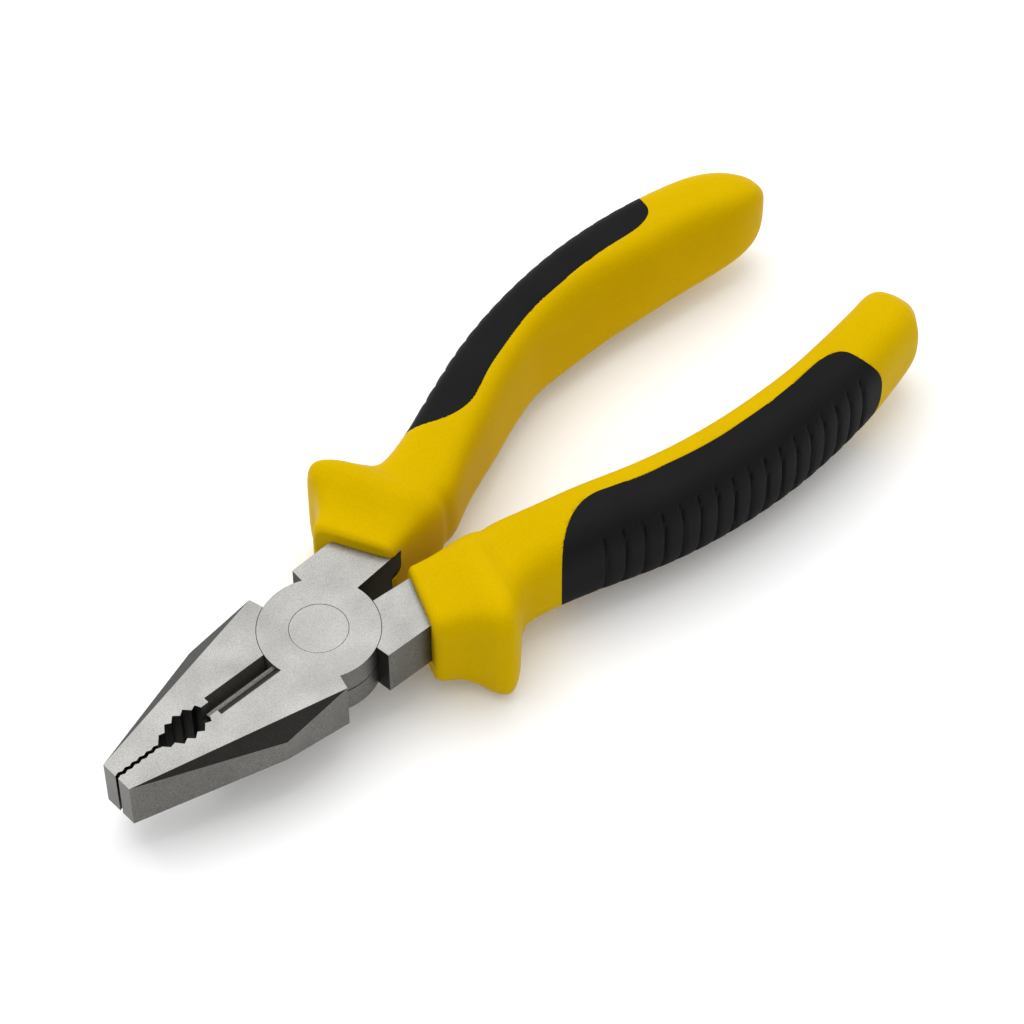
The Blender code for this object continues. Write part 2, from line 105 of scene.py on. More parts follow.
# Sections of a grip from front to back. Each row holds the inner edge's distance behind the pivot and
# its offset, how far the inner face leans, the outer edge's distance and offset, half the height,
# how much taller the outer side is, and how square the section is.
GUARD_ROWS = (
    (19.9, 1.6, 0.0, 13.2, 16.2, 9.0, 0.01, 6.0),
    (21.0, 1.9, 0.0, 14.5, 17.1, 9.3, 0.02, 6.0),
    (24.0, 2.5, 0.0, 17.1, 18.8, 9.6, 0.06, 6.0),
    (26.6, 2.8, 0.0, 18.9, 21.4, 10.3, 0.10, 5.6),
    (28.6, 3.0, 0.0, 20.3, 24.7, 11.2, 0.14, 5.2),
    (30.6, 3.1, 0.0, 22.2, 26.5, 11.7, 0.15, 4.8),
    (32.6, 3.3, 0.0, 24.8, 25.6, 11.2, 0.12, 4.4),
    (34.2, 3.6, 0.0, 27.8, 23.0, 10.1, 0.06, 4.0),
    (35.8, 4.2, 0.0, 30.8, 20.5, 9.4, 0.02, 3.6),
)
NEAR_ROWS = (
    (39.0, 5.0, 0.0, 34.5, 19.7, 9.3, 0.0, 3.4),
    (46.0, 7.5, 0.0, 42.0, 21.7, 9.6, 0.0, 3.2),
    (55.5, 10.7, 0.0, 51.5, 25.1, 10.0, 0.0, 3.2),
    (64.5, 13.9, 0.0, 61.0, 28.3, 10.3, 0.0, 3.2),
    (73.5, 16.4, 0.0, 70.5, 30.5, 10.6, 0.0, 3.2),
    (83.0, 18.0, 0.0, 81.0, 32.1, 10.7, 0.0, 3.2),
    (92.5, 18.7, 0.0, 92.0, 32.9, 10.5, 0.0, 3.2),
    (102.0, 18.8, 0.0, 103.0, 32.6, 10.2, 0.0, 3.2),
    (111.0, 18.2, 0.0, 113.0, 31.6, 10.0, 0.0, 3.1),
    (119.0, 17.4, 0.0, 122.0, 30.0, 9.7, 0.0, 2.9),
    (125.5, 16.5, 0.0, 127.3, 28.9, 8.9, 0.0, 2.5),
    (128.5, 17.9, 0.0, 129.4, 27.1, 7.3, 0.0, 2.3),
    (130.5, 20.3, 0.0, 130.9, 25.5, 4.9, 0.0, 2.2),
    (131.5, 22.3, 0.0, 131.9, 24.3, 1.2, 0.0, 2.0),
)
FAR_ROWS = (
    (39.0, 4.8, 0.0, 34.5, 19.9, 9.3, 0.0, 3.4),
    (46.0, 8.1, 0.1, 42.0, 21.7, 9.6, 0.0, 3.2),
    (55.5, 11.9, 1.2, 51.5, 25.1, 10.0, 0.0, 3.2),
    (64.5, 15.5, 1.4, 61.0, 28.3, 10.3, 0.0, 3.2),
    (73.5, 18.2, 1.6, 70.5, 30.5, 10.6, 0.0, 3.2),
    (83.0, 19.0, 3.2, 81.0, 32.1, 10.7, 0.0, 3.2),
    (92.5, 18.8, 3.8, 92.0, 32.9, 10.5, 0.0, 3.2),
    (102.0, 17.4, 2.9, 103.0, 32.6, 10.2, 0.0, 3.2),
    (111.0, 16.3, 2.7, 113.0, 31.2, 10.0, 0.0, 3.1),
    (119.0, 14.9, 2.0, 122.0, 29.2, 9.7, 0.0, 2.9),
    (125.0, 13.9, 0.8, 127.6, 26.9, 9.0, 0.0, 2.6),
    (129.8, 14.3, 0.3, 130.9, 24.1, 7.6, 0.0, 2.4),
    (133.0, 15.9, 0.0, 133.3, 21.6, 5.0, 0.0, 2.2),
    (134.6, 18.1, 0.0, 134.6, 19.5, 1.2, 0.0, 2.0),
)
# The inner side of a section is at least this square
INNER_SQUARE = 3.7
# Least half width and half height of a section
CORE_LEAST = 0.3
# The front of a grip sits lower by this much, which fades out from one distance to the other
GUARD_DROP = 1.0
DROP_START = 36.0
DROP_END = 52.0
# Radius of the rounded lip where the tang goes in
LIP = 0.9

# Boundary of the soft insert in plan, from the outer front corner to the outer rear
INSERT_EDGE = (
    (37.3, 27.0),
    (37.8, 23.6),
    (39.6, 21.2),
    (42.5, 18.8),
    (46.0, 16.7),
    (50.0, 15.5),
    (53.5, 15.6),
    (57.0, 16.9),
    (61.5, 18.7),
    (66.0, 20.1),
    (72.5, 21.9),
    (79.0, 23.1),
    (85.0, 23.6),
    (91.0, 23.9),
    (97.0, 23.8),
    (102.0, 23.4),
    (105.5, 23.3),
    (108.3, 24.0),
    (109.7, 25.3),
    (110.0, 27.4),
    (109.9, 31.0),
    (109.4, 36.0),
)
# Its rear end bows back: how far at mid height, the half height where the bow ends, how it falls off with
# height, and the last share of the boundary that it takes in
INSERT_END_BOW = 6.2
INSERT_END_HEIGHT = 11.5
INSERT_END_POWER = 2.2
INSERT_END_SHARE = 0.2
# Part of the grip that the skin with the ribs covers, by distance behind the pivot on the outer side
SKIN_REACH = (31.0, 118.0)

# Grip ribs: the first and last groove's distance behind the pivot, how far each bows, and the share of the
# section's width where they begin and are full
RIBS = (48.9, 109.0)
RIB_BOW = (0.3, 1.2)
RIB_SHARE = (0.74, 0.9)
# Half the width of a groove, and how much higher a rib's middle is than its edge
GROOVE_HALF_WIDTH = 0.33
RIB_CROWN = 0.2

# Notch in a sleeve's inner face, where the tang shows: its range behind the pivot, its lower edge, the
# radius of its corner, its range across, and how far it rises above the half
NOTCH_START = 18.0
NOTCH_END = 22.25
NOTCH_LOW = -0.9
NOTCH_CORNER = 2.2
NOTCH_SIDES = (-1.0, 2.7)
NOTCH_RISE = 0.05
NOTCH_STEPS = 8

# Fineness of a grip: stations for each pair of rows, and points round a section, for its outside, for the
# core under an insert and for the skin with the ribs, whose stations keep a least distance
GRIP_STEPS = 12
GRIP_SIDES = 96
CORE_STEPS = 6
CORE_SIDES = 64
SKIN_STEPS = 24
RIB_STATION = 0.216
# Points for each pair of an insert's boundary points, levels of the body over its area, and how far that
# body reaches past the boundary on the outer side
EDGE_STEPS = 10
ZONE_LEVELS = 32
ZONE_ROOM = 1.0
# A section is this much smaller than its row says, so that it stays inside the flats of the frame's
SECTION_FIT = 0.994

# Folds up to these angles are shaded smooth, in degrees, and how much the normals follow large faces
GRIP_SHARP = 38.0
RIVET_SHARP = 50.0
FACE_WEIGHT = 80
# Height of the grain's relief in metres
GRAIN_HEIGHT = 0.00005

# Stage, in metres and degrees: half the floor's width, the key light and the camera
FLOOR_REACH = 3.0
KEY_PLACE = (-0.12, -0.32, 1.14)
KEY_SIZE = (1.1, 0.95)
CAMERA_PLACE = (0.310670, 0.320720, 0.582400)
CAMERA_TURN = 135.5342
CAMERA_RISE = 51.935
CAMERA_ROLL = -0.523
# The direction in which the surroundings are brightest: up, and to the far side
BRIGHT_SIDE = (-0.2, -0.4, 0.9)


class SteelSettings(bpy.types.PropertyGroup):
    edge: FloatProperty(
        name="Edge rounding", description="Width of the worn edge round the forged halves",
        default=0.00012, min=0.0, max=0.0005, unit="LENGTH")
    ground: FloatVectorProperty(
        name="Ground faces", description="Colour of the ground top and bottom faces",
        default=(0.28, 0.276, 0.264), size=3, min=0.0, max=1.0, subtype="COLOR")
    # Partly the sides' darker forged finish, partly painted shade for the dim light the sides reflect
    forged: FloatVectorProperty(
        name="Forged sides", description="Colour of the forged sides",
        default=(0.15, 0.148, 0.138), size=3, min=0.0, max=1.0, subtype="COLOR")
    # Painted shade: the sloping facets are darkened to stand in for the dim light they reflect
    facet: FloatVectorProperty(
        name="Milled facets", description="Colour of the sloping facets of the head",
        default=(0.035, 0.034, 0.031), size=3, min=0.0, max=1.0, subtype="COLOR")
    # Painted shade: the recess's walls are darkened for the shade that falls in the recess
    recess: FloatVectorProperty(
        name="Recess", description="Colour of the walls of the cutter's recess",
        default=(0.09, 0.087, 0.077), size=3, min=0.0, max=1.0, subtype="COLOR")
    # Painted shade: pipe grip, teeth and tangs' inner faces are darkened for the shade between parts
    pipe: FloatVectorProperty(
        name="Pipe grip", description="Colour of the pipe grip, the fine teeth and the tangs' inner faces",
        default=(0.03, 0.029, 0.027), size=3, min=0.0, max=1.0, subtype="COLOR")
    worn: FloatVectorProperty(
        name="Worn edges", description="Colour of the edges that handling keeps bright",
        default=(0.24, 0.237, 0.228), size=3, min=0.0, max=1.0, subtype="COLOR")
    rivet_gap: FloatProperty(
        name="Rivet line", description="Width of the hairline round the rivet",
        default=0.00006, min=0.0, max=0.0003, unit="LENGTH")


class GripSettings(bpy.types.PropertyGroup):
    hard: FloatVectorProperty(
        name="Hard plastic", description="Colour of the hard sleeves",
        default=(0.575, 0.375, 0.0003), size=3, min=0.0, max=1.0, subtype="COLOR")
    soft: FloatVectorProperty(
        name="Soft rubber", description="Colour of the soft inserts",
        default=(0.0098, 0.0098, 0.0105), size=3, min=0.0, max=1.0, subtype="COLOR")
    seam: FloatProperty(
        name="Seam", description="Width of the seam between a sleeve and its insert",
        default=0.00012, min=0.00002, max=0.0003, unit="LENGTH")
    thickness: FloatProperty(
        name="Insert thickness", description="Thickness of the soft inserts",
        default=0.0028, min=0.001, max=0.004, unit="LENGTH")
    rib_pitch: FloatProperty(
        name="Rib pitch", description="Distance from one grip rib to the next",
        default=0.003756, min=0.002, max=0.008, unit="LENGTH")
    groove_depth: FloatProperty(
        name="Groove depth", description="Depth of the grooves between the ribs",
        default=0.00062, min=0.0, max=0.001, unit="LENGTH")


class StageSettings(bpy.types.PropertyGroup):
    floor: FloatVectorProperty(
        name="Floor", description="Colour of the floor",
        default=(0.92, 0.92, 0.92), size=3, min=0.0, max=1.0, subtype="COLOR")
    # The floor's glow is painted light, an emission that lifts the shadows on the floor
    floor_glow: FloatProperty(
        name="Floor glow", description="Light that comes through the pale floor",
        default=0.06, min=0.0, max=1.0, subtype="FACTOR")
    key_power: FloatProperty(
        name="Key light", description="Power of the large soft light above the tool",
        default=6.4, min=0.0, max=200.0, unit="POWER")
    sky: FloatProperty(
        name="Surround", description="Brightness of the pale surroundings, halfway round",
        default=0.49, min=0.0, max=5.0)
    sky_rise: FloatProperty(
        name="Surround rise", description="How much brighter the surroundings are above the tool",
        default=0.72, min=0.0, max=5.0)
    lens: FloatProperty(
        name="Lens", description="Focal length of the camera",
        default=139.03, min=20.0, max=400.0, unit="CAMERA")


# Shape helpers

def spline(rows, steps):
    """Points of a smooth curve through rows of numbers, several steps for each span."""
    out = []
    last = len(rows) - 1
    for i in range(last):
        a, b, c, d = rows[max(i - 1, 0)], rows[i], rows[i + 1], rows[min(i + 2, last)]
        for k in range(steps):
            t = k / steps
            out.append(tuple(
                0.5 * (2 * q + (r - p) * t + (2 * p - 5 * q + 4 * r - s) * t ** 2
                       + (3 * q - p - 3 * r + s) * t ** 3)
                for p, q, r, s in zip(a, b, c, d)))
    out.append(tuple(rows[-1]))
    return out


def clamp(value):
    """The value, held between 0 and 1."""
    return min(1.0, max(0.0, value))


def drawn_body(rings):
    """A closed body: one ring of points is extruded from section to section, and both ends are filled."""
    bm = bmesh.new()
    place = bm.verts.layers.int.new("place")
    first = bmesh.ops.create_circle(bm, segments=len(rings[0]), radius=1.0)["verts"]
    for number, vert in enumerate(first):
        vert[place] = number
        vert.co = rings[0][number]
    edges = bm.edges[:]
    for ring in rings[1:]:
        grown = bmesh.ops.extrude_edge_only(bm, edges=edges)["geom"]
        verts = {part for part in grown if isinstance(part, bmesh.types.BMVert)}
        edges = [part for part in grown if isinstance(part, bmesh.types.BMEdge)
                 and part.verts[0] in verts and part.verts[1] in verts]
        for vert in verts:
            vert.co = ring[vert[place]]
    bmesh.ops.holes_fill(bm, edges=[edge for edge in bm.edges if edge.is_boundary], sides=0)
    bmesh.ops.recalc_face_normals(bm, faces=bm.faces)
    bm.verts.layers.int.remove(place)
    return bm


def piece_from(name, bm):
    """An object with the bmesh's shape."""
    mesh = bpy.data.meshes.new(name)
    bm.to_mesh(mesh)
    bm.free()
    piece = bpy.data.objects.new(name, mesh)
    bpy.context.scene.collection.objects.link(piece)
    return piece


def cut(target, tool, operation):
    """Apply one Boolean to the target and drop the tool."""
    modifier = target.modifiers.new("cut", "BOOLEAN")
    modifier.operation = operation
    modifier.solver = "MANIFOLD"
    modifier.object = tool
    depsgraph = bpy.context.evaluated_depsgraph_get()
    result = bpy.data.meshes.new_from_object(target.evaluated_get(depsgraph))
    if not result.polygons:
        raise RuntimeError(target.name + " is empty after a cut")
    target.modifiers.clear()
    target.data = result
    bpy.data.objects.remove(tool, do_unlink=True)
    return target


def place_piece(piece, body, nodes, materials, sharp_degrees=GRIP_SHARP, flat_faces=False):
    """Set materials and shading, tie the piece to its CAD body, and hide the CAD nodes that it stands for.
    """
    # Cuts can leave empty slots; clearing them also resets the faces' numbers, which a half needs
    if len(materials) == 1:
        piece.data.materials.clear()
    for material in materials:
        piece.data.materials.append(material)
    if sharp_degrees:
        piece.data.shade_smooth()
        piece.data.set_sharp_from_angle(angle=math.radians(sharp_degrees))
    if flat_faces:
        even = piece.modifiers.new("flat_faces", "WEIGHTED_NORMAL")
        even.weight = FACE_WEIGHT
        even.keep_sharp = True
    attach(piece, body)
    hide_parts(*nodes)


# Node helpers

def add(tree, kind, **values):
    """A shader node with its settings, and with the values of its named inputs."""
    node = tree.nodes.new(kind)
    for key, value in values.items():
        if hasattr(node, key):
            setattr(node, key, value)
        else:
            node.inputs[key.replace("_", " ")].default_value = value
    return node


def noise_group(name, inputs, outputs, detail, roughness):
    """A new node group with its sockets and a noise over the object, whose Scale is the first input."""
    group = bpy.data.node_groups.new(name, "ShaderNodeTree")
    for label, value in inputs:
        socket = group.interface.new_socket(name=label, in_out="INPUT", socket_type="NodeSocketFloat")
        socket.default_value = value
    for label in outputs:
        group.interface.new_socket(name=label, in_out="OUTPUT", socket_type="NodeSocketFloat")
    entry = group.nodes.new("NodeGroupInput")
    leave = group.nodes.new("NodeGroupOutput")
    where = group.nodes.new("ShaderNodeTexCoord")
    noise = add(group, "ShaderNodeTexNoise", Detail=detail, Roughness=roughness)
    group.links.new(where.outputs["Object"], noise.inputs["Vector"])
    group.links.new(entry.outputs["Scale"], noise.inputs["Scale"])
    return group, entry, leave, noise


def grain_group():
    """Fine blasted or moulded grain: a mask of light and dark specks about one half, and its height."""
    found = bpy.data.node_groups.get("fine_grain")
    if found:
        return found
    group, entry, leave, noise = noise_group(
        "fine_grain", (("Scale", 5000.0), ("Contrast", 0.3)), ("Mask", "Height"), 3.0, 0.55)
    centred = add(group, "ShaderNodeMath", operation="SUBTRACT")
    centred.inputs[1].default_value = 0.5
    scaled = add(group, "ShaderNodeMath", operation="MULTIPLY_ADD")
    scaled.inputs[2].default_value = 0.5
    group.links.new(noise.outputs["Fac"], centred.inputs[0])
    group.links.new(centred.outputs[0], scaled.inputs[0])
    group.links.new(entry.outputs["Contrast"], scaled.inputs[1])
    group.links.new(scaled.outputs[0], leave.inputs["Mask"])
    group.links.new(noise.outputs["Fac"], leave.inputs["Height"])
    return group


def cloud_group():
    """Broad uneven tone, as handling and moulding leave it."""
    found = bpy.data.node_groups.get("broad_tone")
    if found:
        return found
    group, entry, leave, noise = noise_group(
        "broad_tone", (("Scale", 120.0), ("Darkest", 0.9), ("Brightest", 1.05)), ("Tone",), 2.0, 0.5)
    spread = add(group, "ShaderNodeMapRange", From_Min=0.3, From_Max=0.7)
    group.links.new(noise.outputs["Fac"], spread.inputs["Value"])
    group.links.new(entry.outputs["Darkest"], spread.inputs["To Min"])
    group.links.new(entry.outputs["Brightest"], spread.inputs["To Max"])
    group.links.new(spread.outputs["Result"], leave.inputs["Tone"])
    return group


def finish(name, colour, roughness, grain_scale, contrast, bump, metallic=0.0, tone=(0.94, 1.05),
           spread=0.06, cloud_scale=110.0, specular=0.5, gleam=(1.0, 1.0, 1.0)):
    """A satin finish: grain and broad tone change its colour, and grain its roughness and height.

    Contrast is how much the grain changes the colour, bump the strength of its relief, tone the darkest and
    brightest of the broad tone, spread how far the roughness goes either way, and gleam the sheen's tint.
    """
    material = bpy.data.materials.new(name)
    material.use_nodes = True
    material.diffuse_color = (*colour, 1.0)
    tree = material.node_tree
    shader = tree.nodes["Principled BSDF"]
    shader.inputs["Metallic"].default_value = metallic
    shader.inputs["Specular IOR Level"].default_value = specular
    shader.inputs["Specular Tint"].default_value = (*gleam, 1.0)
    grain = tree.nodes.new("ShaderNodeGroup")
    grain.node_tree = grain_group()
    grain.inputs["Scale"].default_value = grain_scale
    grain.inputs["Contrast"].default_value = contrast
    cloud = tree.nodes.new("ShaderNodeGroup")
    cloud.node_tree = cloud_group()
    cloud.inputs["Scale"].default_value = cloud_scale
    cloud.inputs["Darkest"].default_value = tone[0]
    cloud.inputs["Brightest"].default_value = tone[1]
    strength = add(tree, "ShaderNodeMath", operation="MULTIPLY")
    tree.links.new(grain.outputs["Mask"], strength.inputs[0])
    tree.links.new(cloud.outputs["Tone"], strength.inputs[1])
    # The mask lies about one half, so the tone is doubled
    doubled = add(tree, "ShaderNodeMath", operation="MULTIPLY")
    doubled.inputs[1].default_value = 2.0
    tree.links.new(strength.outputs[0], doubled.inputs[0])
    paint = add(tree, "ShaderNodeVectorMath", operation="SCALE")
    paint.inputs[0].default_value = colour
    tree.links.new(doubled.outputs[0], paint.inputs["Scale"])
    tree.links.new(paint.outputs["Vector"], shader.inputs["Base Color"])
    rough = add(tree, "ShaderNodeMapRange", From_Min=0.35, From_Max=0.65,
                To_Min=roughness - spread, To_Max=roughness + spread)
    tree.links.new(grain.outputs["Height"], rough.inputs["Value"])
    tree.links.new(rough.outputs["Result"], shader.inputs["Roughness"])
    relief = add(tree, "ShaderNodeBump", Strength=bump, Distance=GRAIN_HEIGHT)
    tree.links.new(grain.outputs["Height"], relief.inputs["Height"])
    tree.links.new(relief.outputs["Normal"], shader.inputs["Normal"])
    return material


def ground_finish(name, colour, tone):
    """The finish of ground steel."""
    return finish(name, colour, metallic=1.0, roughness=0.43, grain_scale=4200.0, contrast=0.75, bump=0.1,
                  tone=tone)


def steel_finishes(settings):
    """Finishes of the forged halves, in the order of their material numbers; the darker ones paint shade.
    """
    return [
        ground_finish("ground_steel", settings.ground, tone=(0.85, 1.13)),
        # The forged sides: a darker forged finish, and partly painted shade
        finish("forged_side_and_painted_shade", settings.forged, metallic=1.0, roughness=0.45, grain_scale=3400.0,
               contrast=1.0, bump=0.2, tone=(0.88, 1.1)),
        # Painted shade on the sloping facets and the recess's gentle slopes
        finish("milled_facet_painted_shade", settings.facet, metallic=1.0, roughness=0.42, grain_scale=3000.0,
               contrast=0.5, bump=0.1, tone=(0.9, 1.1)),
        # Painted shade on the recess's steep walls
        finish("recess_painted_shade", settings.recess, metallic=0.3, roughness=0.5, grain_scale=3000.0,
               contrast=0.5, bump=0.1, tone=(0.9, 1.1), specular=0.3),
        # Painted shade on the pipe grip, the fine teeth and the tangs' inner faces
        finish("pipe_grip_painted_shade", settings.pipe, metallic=1.0, roughness=0.5, grain_scale=3000.0,
               contrast=0.8, bump=0.3, tone=(0.85, 1.1)),
        finish("worn_steel_edge", settings.worn, metallic=1.0, roughness=0.36, grain_scale=3000.0,
               contrast=0.5, bump=0.15),
    ]


# Steel pieces

# Finish numbers; all but ground faces and worn edges paint shade with darker steel, the sides partly
GROUND, FORGED_AND_SHADE, MILLED_SHADE, RECESS_SHADE, PIPE_SHADE, WORN = range(6)


def along_half(point):
    """A point of the frame in millimetres along a forged half, from the pivot."""
    place = (point - PIVOT) / MM
    place.rotate(Matrix.Rotation(-JAW_TURN, 3, "Z"))
    return place


def steel_surface(centre, normal):
    """Which finish a face of a forged half has, by where it is and how it faces; the darker finishes paint
    shade.
    """
    place = along_half(centre)
    upright = abs(normal.z)
    aside = abs(place.y)
    deep = FLOOR_DEPTH < HALF_THICK - abs(place.z) < HALF_THICK - FLOOR_DEPTH
    in_recess = RECESS_X[0] < place.x < RECESS_X[1] and aside < RECESS_HALF_WIDTH
    if upright > LEVEL:
        # Level faces deep in the recess get the darker side steel, painted shade in the recess
        return FORGED_AND_SHADE if in_recess and deep else GROUND
    # The pipe grip and the fine teeth get dark steel, painted shade between the teeth
    if PIPE_GRIP_X[0] < place.x < PIPE_GRIP_X[1] and aside < PIPE_GRIP_HALF_WIDTH:
        return PIPE_SHADE
    in_teeth = place.x > PIPE_GRIP_X[1] and aside < TEETH_HALF_WIDTH
    if in_teeth and upright < SLOPING and abs(normal.x) < TOOTH_END:
        return PIPE_SHADE
    # Sloping faces and walls in the recess get darkened steel, painted shade
    if in_recess:
        return MILLED_SHADE if upright > GENTLE else RECESS_SHADE
    # Sloping faces of the head get darkened steel, painted shade
    if upright > SLOPING:
        return MILLED_SHADE if place.x > 0 else FORGED_AND_SHADE
    # The tangs' inner and forward faces get the same dark steel, painted shade between the tangs
    if place.x < TANG_X and (normal.x > FORWARD or aside < TANG_HALF_GAP):
        return PIPE_SHADE
    # The remaining sides get the forged steel, partly painted shade
    return FORGED_AND_SHADE


def close_walls(bm):
    """Bring the round walls of the joint up to hairlines; they stay round about the pivot."""
    for vert in bm.verts:
        out = Vector((vert.co.x - PIVOT.x, vert.co.y - PIVOT.y))
        for radius, shown in CLOSER_WALLS:
            if abs(out.length / MM - radius) < WALL_ROOM:
                out *= shown * MM / out.length
                vert.co.x, vert.co.y = PIVOT.x + out.x, PIVOT.y + out.y


def half_mesh(node):
    """A bmesh of one CAD half, with the corners that its faces share merged."""
    bm = bmesh.new()
    bm.from_mesh(frame["nodes"][node].data)
    bmesh.ops.remove_doubles(bm, verts=bm.verts, dist=MERGE)
    return bm


def forged_half(node, edge):
    """A copy of a CAD half with its outer edges rounded and its faces sorted by finish."""
    bm = half_mesh(node)
    bmesh.ops.dissolve_limit(bm, angle_limit=math.radians(MERGED_FOLD), verts=bm.verts, edges=bm.edges,
                             use_dissolve_boundaries=False)
    close_walls(bm)
    bm.normal_update()
    for face in bm.faces:
        face.smooth = True
        face.material_index = steel_surface(face.calc_center_median(), face.normal)
    folds = [(e, math.degrees(e.calc_face_angle(0.0))) for e in bm.edges if e.is_manifold]
    for fold, angle in folds:
        fold.smooth = angle < CRISP_FOLD
    sharp = [fold for fold, angle in folds if angle > WORN_FOLD]
    rounded = bmesh.ops.bevel(bm, geom=sharp, offset=edge, offset_type="OFFSET", segments=2, profile=0.5,
                              affect="EDGES", clamp_overlap=True, material=-1, loop_slide=True)
    for face in rounded["faces"]:
        place = along_half(face.calc_center_median())
        for fold in face.edges:
            fold.smooth = True
        outside = math.hypot(place.x, place.y) > DISC_REACH and abs(place.y) > PIPE_GRIP_HALF_WIDTH
        if outside and HALF_THICK - abs(place.z) < EDGE_DEPTH:
            face.material_index = WORN
    return bm


class PLIERS_OT_forged_halves(bpy.types.Operator):
    """Dress the forged halves: ground faces, worn edges, and sides, facets, recess and pipe grip darkened
    with painted shade
    """
    bl_idname = "pliers.forged_halves"
    bl_label = "Forged halves"

    def execute(self, context):
        settings = context.scene.pliers_steel
        finishes = steel_finishes(settings)
        for node, body in (("half_near_jaw", "far_handle_half"), ("half_far_jaw", "near_handle_half")):
            piece = piece_from("forged_" + node, forged_half(node, settings.edge))
            place_piece(piece, body, [node], finishes, sharp_degrees=None, flat_faces=True)
        return {"FINISHED"}


class PLIERS_OT_rivet(bpy.types.Operator):
    """Turn the flush rivet that fills its hole to a hairline"""
    bl_idname = "pliers.rivet"
    bl_label = "Rivet"

    def execute(self, context):
        settings = context.scene.pliers_steel
        low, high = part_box("rivet")
        radius = CLOSER_WALLS[1][1] * MM - settings.rivet_gap
        bm = bmesh.new()
        bmesh.ops.create_cone(bm, cap_ends=True, segments=RIVET_SIDES, radius1=radius, radius2=radius,
                              depth=high.z - low.z)
        bmesh.ops.translate(bm, verts=bm.verts, vec=(low + high) / 2)
        rims = [e for e in bm.edges if abs(e.verts[0].co.z - e.verts[1].co.z) < MERGE]
        bmesh.ops.bevel(bm, geom=rims, offset=RIVET_RIM, offset_type="OFFSET", segments=2, profile=0.5,
                        affect="EDGES", clamp_overlap=True, material=-1)
        piece = piece_from("flush_rivet", bm)
        steel = ground_finish("rivet_steel_ground", settings.ground, tone=(0.9, 1.1))
        place_piece(piece, "far_handle_half", ["rivet"], [steel],
                    sharp_degrees=RIVET_SHARP, flat_faces=True)
        return {"FINISHED"}


# Grips

def grip_rows(near):
    """Rows of one grip, from front to back."""
    return GUARD_ROWS + (NEAR_ROWS if near else FAR_ROWS)


def framed(x, y, z, near):
    """A point of the near grip's plan in the frame; the far grip's is mirrored."""
    return Vector((PIVOT.x + x * MM, (y if near else -y) * MM, PIVOT.z + z * MM))


def grip_ring(row, near, sides, inset=0.0, lip=0.0, groove=None):
    """One section of a grip.

    An inset shrinks all but the inner side, a lip shrinks every side, and a groove gives the depth of the
    outer side's relief at a point.
    """
    back_in, side_in, lean, back_out, side_out, half_height, rise, square = row
    inner = Vector((-back_in, side_in))
    outer = Vector((-back_out, side_out))
    across = (outer - inner).normalized()
    outer -= across * (inset + lip)
    inner += across * lip
    middle = (inner + outer) / 2
    wide = max((outer - inner).length / 2, CORE_LEAST)
    tall = max(half_height - inset - lip, CORE_LEAST)
    drop = GUARD_DROP * clamp((DROP_END - back_in) / (DROP_END - DROP_START))
    ring = []
    for i in range(sides):
        angle = 2 * math.pi * (i + 0.5) / sides
        cos, sin = math.cos(angle), math.sin(angle)
        power = 2 / (square if cos > 0 else max(square, INNER_SQUARE))
        share = math.copysign(abs(cos) ** power, cos) * SECTION_FIT
        v = math.copysign(abs(sin) ** power, sin) * SECTION_FIT * tall * (1 + rise * share)
        shift = lean / 2 * (v / half_height) * max(0.0, -share)
        point = middle + across * (share * wide + shift)
        if groove:
            point -= across * groove(-point.x, v, half_height, share)
        ring.append(framed(point.x, point.y, v - drop, near))
    return ring


def rib_relief(pitch, depth):
    """Depth of the ribbed relief at a place on an insert's outer face: bowed grooves with crowned ribs."""
    start, end = RIBS
    count = round((end - start) / pitch)

    def relief(back, v, half_height, share):
        reach = clamp((back - start) / (end - start))
        bow = RIB_BOW[0] + (RIB_BOW[1] - RIB_BOW[0]) * reach
        along = (back + bow * clamp(abs(v) / half_height) ** 2 - start) / pitch
        if along < -0.5 or along > count + 0.5:
            return 0.0
        away = abs(along - round(along)) * pitch
        full = clamp((share - RIB_SHARE[0]) / (RIB_SHARE[1] - RIB_SHARE[0]))
        line = math.exp(-(away / GROOVE_HALF_WIDTH) ** 2)
        crown = (1 - away / (pitch / 2)) ** 2
        return full * full * (3 - 2 * full) * (depth * line + RIB_CROWN * crown)

    return relief


def whole_grip(near):
    """The outside of one grip, with a rounded lip where the tang goes in."""
    rows = spline(grip_rows(near), GRIP_STEPS)
    rings = []
    for row in rows:
        reach = row[0] - rows[0][0]
        pull = LIP - math.sqrt(max(0.0, LIP ** 2 - (LIP - min(reach, LIP)) ** 2))
        rings.append(grip_ring(row, near, GRIP_SIDES, lip=pull))
    return rings


def insert_core(near, inset):
    """Inside of a grip under the insert, which keeps the inset from its outside."""
    rows = spline(grip_rows(near), CORE_STEPS)
    return [grip_ring(row, near, CORE_SIDES, inset=inset) for row in rows]


def insert_skin(near, pitch, depth):
    """Outside of a grip over the insert's length, with the ribbed relief."""
    relief = rib_relief(pitch, depth)
    rings, last = [], -math.inf
    for row in spline(grip_rows(near), SKIN_STEPS):
        if SKIN_REACH[0] <= row[3] <= SKIN_REACH[1] and row[3] - last >= RIB_STATION:
            last = row[3]
            rings.append(grip_ring(row, near, GRIP_SIDES, groove=relief))
    return rings


